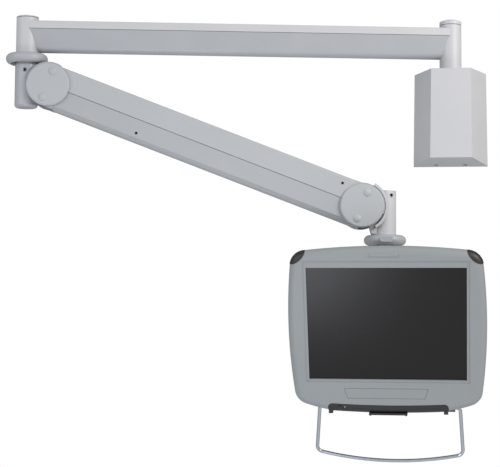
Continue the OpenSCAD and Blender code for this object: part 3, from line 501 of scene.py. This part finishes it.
def make_control_strip():
    """The black strip under the screen, with a foot at each end and wells for its button and lamp."""
    piece = pillow("control_strip.finished", STRIP_PROUD)
    bar = outlined_blank("bar", strip_outline(0), FACE_Y - PAST, BEZEL_BACK - TRIM_SHORT)
    combine(piece, bar, "INTERSECT")
    for side in (-1, 1):
        left, right = sorted((side * FOOT_IN, side * FOOT_OUT))
        combine(piece, box_tool((left, FACE_Y + FOOT_BEHIND, FOOT_LOW),
                                (right, BEZEL_BACK - FOOT_SHORT, FOOT_TOP)), "UNION")
    for node, reach in WELL_RADIUS.items():
        low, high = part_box(node)
        centre = FACE.inverted() @ ((low + high) / 2)
        well = arc((centre.x, centre.z), reach, 0, 2 * math.pi, 40)[:-1]
        combine(piece, outlined_blank("well", well, FACE_Y - PAST, FACE_Y + WELL_DEPTH), "DIFFERENCE")
    round_edges(piece, TRIM_EDGE, 2, sharp=40)
    put_in_place(piece, FACE)
    dress(piece, ["control_strip"], "black_plastic")


# ---------- the chrome bail ----------

# Radii of the rod, of its bends at the pins and at the bow's ends, and of the bow
BAIL_ROD, BAIL_HOOK, BAIL_BEND, BAIL_BOW = 3.5 * MM, 8 * MM, 12 * MM, 600 * MM
# Height of the bow's lowest point in the face's own axes, and how far from the middle the pins end
BAIL_LOW, BAIL_PIN = -299.5 * MM, 110 * MM
# How far the legs splay, how far the bow turns each way, and how far the whole bail leans sideways
BAIL_SPLAY, BOW_TURN = math.radians(4.1), math.radians(13.1)
BAIL_LEAN = math.radians(0.9)


def make_bail():
    """One bent rod: two pins, two splayed legs and a shallow bow."""
    hinge = FACE.inverted() @ Vector(JOINTS["bail_swing"]["pos_m"])
    # Centres of the bow, of the bend at its end and of the bend at the pin, and the straight leg's length
    bow = (0, BAIL_BOW + BAIL_LOW - hinge.z)
    bend = (bow[0] + (BAIL_BOW - BAIL_BEND) * math.sin(BOW_TURN),
            bow[1] - (BAIL_BOW - BAIL_BEND) * math.cos(BOW_TURN))
    leg = (bend[0] + BAIL_BEND * math.cos(BAIL_SPLAY), bend[1] + BAIL_BEND * math.sin(BAIL_SPLAY))
    length = (-BAIL_HOOK * (1 - math.sin(BAIL_SPLAY)) - leg[1]) / math.cos(BAIL_SPLAY)
    high = (leg[0] - length * math.sin(BAIL_SPLAY), leg[1] + length * math.cos(BAIL_SPLAY))
    hook = (high[0] - BAIL_HOOK * math.cos(BAIL_SPLAY), high[1] - BAIL_HOOK * math.sin(BAIL_SPLAY))
    line = [(BAIL_PIN, 0)] + arc(hook, BAIL_HOOK, math.pi / 2, BAIL_SPLAY, 8)
    line += arc(bend, BAIL_BEND, BAIL_SPLAY, BOW_TURN - math.pi / 2, 8)
    line += arc(bow, BAIL_BOW, BOW_TURN - math.pi / 2, -math.pi / 2, 16)[1:]
    line += [(-x, z) for x, z in line[-2::-1]]
    curve = bpy.data.curves.new("bail.finished", "CURVE")
    curve.dimensions = "3D"
    curve.bevel_depth = BAIL_ROD
    curve.bevel_resolution = 6
    curve.use_fill_caps = True
    spline = curve.splines.new("POLY")
    spline.points.add(len(line) - 1)
    for point, (x, z) in zip(spline.points, line):
        point.co = (x, 0, z, 1)
    piece = bpy.data.objects.new("bail.finished", curve)
    bpy.context.scene.collection.objects.link(piece)
    pick(piece)
    bpy.ops.object.convert(target="MESH")
    piece = bpy.context.object
    turn_outwards(piece)
    put_in_place(piece, FACE @ Matrix.Translation(hinge) @ Matrix.Rotation(BAIL_LEAN, 4, "Y"))
    dress(piece, ["bail"], "bail_chrome", angle=60)


# ---------- parts whose engineering shape is right and only needs softer edges ----------

# Radius in mm of the softened edges; castings and mouldings are rounder than sheet metal
SOFTENED = {
    "housing_cover": 1.3, "wall_post": 0.4, "wall_post_cap": 0.5, "arm_beam": 0.5, "arm_lid": 0.5,
    "elbow_post": 0.4, "elbow_post_cap": 0.5, "upper_collar": 0.6, "rear_knuckle": 0.5,
    "upper_shell": 0.7, "lower_shell": 0.6, "rear_near_cover": 0.6, "rear_far_cover": 0.6,
    "front_near_cover": 0.6, "front_far_cover": 0.6, "cover_plugs": 0.4, "side_screws": 0.25,
    "front_knuckle": 0.8, "lower_collar": 0.6, "collar_plug": 0.5, "swivel_spindle": 0.5,
    "tilt_fork": 0.8, "tilt_pin": 0.5, "mounting_bracket": 0.6, "rear_housing": 1.4,
    "centre_foot": 0.6, "power_button": 0.35, "bail_clips": 0.7, "bail_tips": 0.5,
    "rear_set_screw": 0.25, "front_set_screw": 0.25, "bracket_screws": 0.25, "housing_screws": 0.25,
    "wall_plate": 0.5, "post_bracket": 0.6, "screen_glass": 0.5, "status_lamp": 0.3,
    "arm_frame": 0.4, "tension_link": 0.4, "spring_rod": 0.4, "rear_knuckle_plug": 0.4,
    "post_collars": 0.5, "elbow_spindle": 0.4, "rear_pins": 0.3, "front_pins": 0.3,
}


# Edges shorter than this are steps of a curve and stay as they are
SHORTEST_SOFT = 0.3 * MM


def soften_parts():
    """Gives each part in the list a copy with softened edges, in its own finish."""
    for name, radius in SOFTENED.items():
        piece = finished_copy(name)
        round_edges(piece, radius * MM, 2, chosen=lambda a, b: (a - b).length > SHORTEST_SOFT)
        dress(piece, [name], SLOTS[name])


# Faces this near a set screw's axis belong to its key socket, which gets painted shade
SOCKET_REACH = 2.6 * MM
# The front set screw is turned this far round the front post from the arm's sideways axis
FRONT_SCREW_TURN = math.radians(30)


def paint_socket_shade(name, axis):
    """Gives the walls and floor of a set screw's key socket the black steel finish as painted shade of the
    recess.
    """
    piece = bpy.data.objects[name + ".finished"]
    # This second finish is painted shade inside the key socket, not the screw's own plating
    piece.data.materials.append(FINISHES["dark_steel"])
    low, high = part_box(name)
    middle = (low + high) / 2
    for face in piece.data.polygons:
        out = face.center - middle
        if (out - out.dot(axis) * axis).length < SOCKET_REACH:
            face.material_index = 1


def paint_socket_shades():
    """Darkens the key sockets of both set screws with painted shade."""
    sideways = Vector(JOINTS["arm_pitch"]["axis"])
    paint_socket_shade("rear_set_screw", sideways)
    paint_socket_shade("front_set_screw", Matrix.Rotation(FRONT_SCREW_TURN, 3, "Z") @ sideways)


def dress_hidden_parts():
    """Parts deep inside keep their engineering mesh and get their finish only."""
    replaced = set(SOFTENED) | {"front_bezel", "corner_caps", "control_strip", "bail"}
    for name, part in NODES.items():
        if name not in replaced:
            part.data.materials.clear()
            part.data.materials.append(FINISHES[SLOTS[name]])


# ---------- camera, floor and light ----------

# Where the camera stands, how far it looks to the left and up and rolls, and its lens and sensor in mm
CAMERA_PLACE = (-0.0422, -3.0168, -0.4686)
CAMERA_TURN, CAMERA_RISE, CAMERA_ROLL = math.radians(7.20), math.radians(4.37), math.radians(0.41)
LENS, SENSOR = 103.1, 36


def make_camera():
    """Long lens at about the height of the screen, looking slightly to the left and up."""
    ahead = Vector((-math.sin(CAMERA_TURN) * math.cos(CAMERA_RISE),
                    math.cos(CAMERA_TURN) * math.cos(CAMERA_RISE), math.sin(CAMERA_RISE)))
    level = Vector((math.cos(CAMERA_TURN), math.sin(CAMERA_TURN), 0))
    upright = level.cross(ahead)
    right = level * math.cos(CAMERA_ROLL) + upright * math.sin(CAMERA_ROLL)
    up = upright * math.cos(CAMERA_ROLL) - level * math.sin(CAMERA_ROLL)
    data = bpy.data.cameras.new("camera")
    data.lens = LENS
    data.sensor_width = SENSOR
    camera = bpy.data.objects.new("camera", data)
    bpy.context.scene.collection.objects.link(camera)
    place = Matrix((right, up, -ahead)).transposed().to_4x4()
    place.translation = CAMERA_PLACE
    camera.matrix_world = place
    bpy.context.scene.camera = camera


FLOOR_PLACE, FLOOR_RADIUS = (-0.4, -0.4, -1.35), 2.4


def make_floor():
    """A pale round floor well below the wall-held arm."""
    bpy.ops.object.select_all(action="DESELECT")
    bpy.ops.mesh.primitive_circle_add(vertices=96, radius=FLOOR_RADIUS, fill_type="NGON",
                                      location=FLOOR_PLACE)
    floor = bpy.context.object
    floor.name = "floor"
    # Rolled floor paint, matt, with a faint nap
    paint = surface("pale_floor_paint", "#eeeeee", "#ebebec", 0.7, 0.0, 400, 3, 0.1, {})
    floor.data.materials.append(paint)


def area_light(name, place, aim, size, watts, colour):
    """A soft round lamp at a place, facing the point it is aimed at."""
    data = bpy.data.lights.new(name, "AREA")
    data.shape = "DISK"
    data.size = size
    data.energy = watts
    data.color = linear(colour)[:3]
    light = bpy.data.objects.new(name, data)
    bpy.context.scene.collection.objects.link(light)
    light.location = place
    light.rotation_euler = (Vector(aim) - Vector(place)).to_track_quat("-Z", "Y").to_euler()


# The room's light from straight below and from straight above
ROOM_BELOW, ROOM_ABOVE = 0.32, 0.84
# The room in reflections: bright in front of the object, dark behind it, and where it changes
MIRROR_FRONT, MIRROR_BEHIND = 0.85, 0.20
MIRROR_FROM, MIRROR_TO = -0.3, 0.5


def make_light():
    """Three soft lamps in a white room, brighter from above and dark behind the object in reflections."""
    area_light("key", place=(1.5, -1.4, 0.7), aim=(-0.1, -0.1, -0.1), size=1.1, watts=34, colour="#fffaf4")
    area_light("fill", place=(-2.4, -2.2, 0.4), aim=(-0.4, -0.1, -0.2), size=2.0, watts=19,
               colour="#f3f5fb")
    # Low in front, so that the glass mirrors it as a faint glow
    area_light("screen_glow", place=(-0.43, -1.05, -0.83), aim=(-0.25, -0.26, -0.35), size=0.45,
               watts=2.2, colour="#f4f6ff")
    world = bpy.data.worlds.new("pale_room")
    bpy.context.scene.world = world
    world.use_nodes = True
    tree = world.node_tree
    tree.nodes.clear()
    way = wire(tree, "ShaderNodeTexCoord", {}).outputs["Generated"]
    parts = wire(tree, "ShaderNodeSeparateXYZ", {}, [("Vector", way)])
    height = wire(tree, "ShaderNodeMapRange",
                  {"From Min": -1.0, "From Max": 1.0, "To Min": ROOM_BELOW, "To Max": ROOM_ABOVE},
                  [("Value", parts.outputs["Z"])])
    mirrored = wire(tree, "ShaderNodeMapRange",
                    {"From Min": MIRROR_FROM, "From Max": MIRROR_TO,
                     "To Min": MIRROR_FRONT, "To Max": MIRROR_BEHIND},
                    [("Value", parts.outputs["Y"])])
    path = wire(tree, "ShaderNodeLightPath", {})
    lit = wire(tree, "ShaderNodeMix", {"data_type": "FLOAT"},
               [(0, path.outputs["Is Glossy Ray"]), (2, height.outputs["Result"]),
                (3, mirrored.outputs["Result"])])
    # The camera itself sees plain white
    strength = wire(tree, "ShaderNodeMix", {"data_type": "FLOAT", 3: 1.0},
                    [(0, path.outputs["Is Camera Ray"]), (2, lit.outputs[0])])
    room = wire(tree, "ShaderNodeBackground", {"Color": (1.0, 1.0, 1.0, 1.0)},
                [("Strength", strength.outputs[0])])
    wire(tree, "ShaderNodeOutputWorld", {}, [("Surface", room.outputs["Background"])])
    bpy.context.scene.view_settings.view_transform = "Standard"


make_camera()
make_bezel()
make_corner_caps()
make_control_strip()
make_bail()
soften_parts()
paint_socket_shades()
dress_hidden_parts()
make_floor()
make_light()
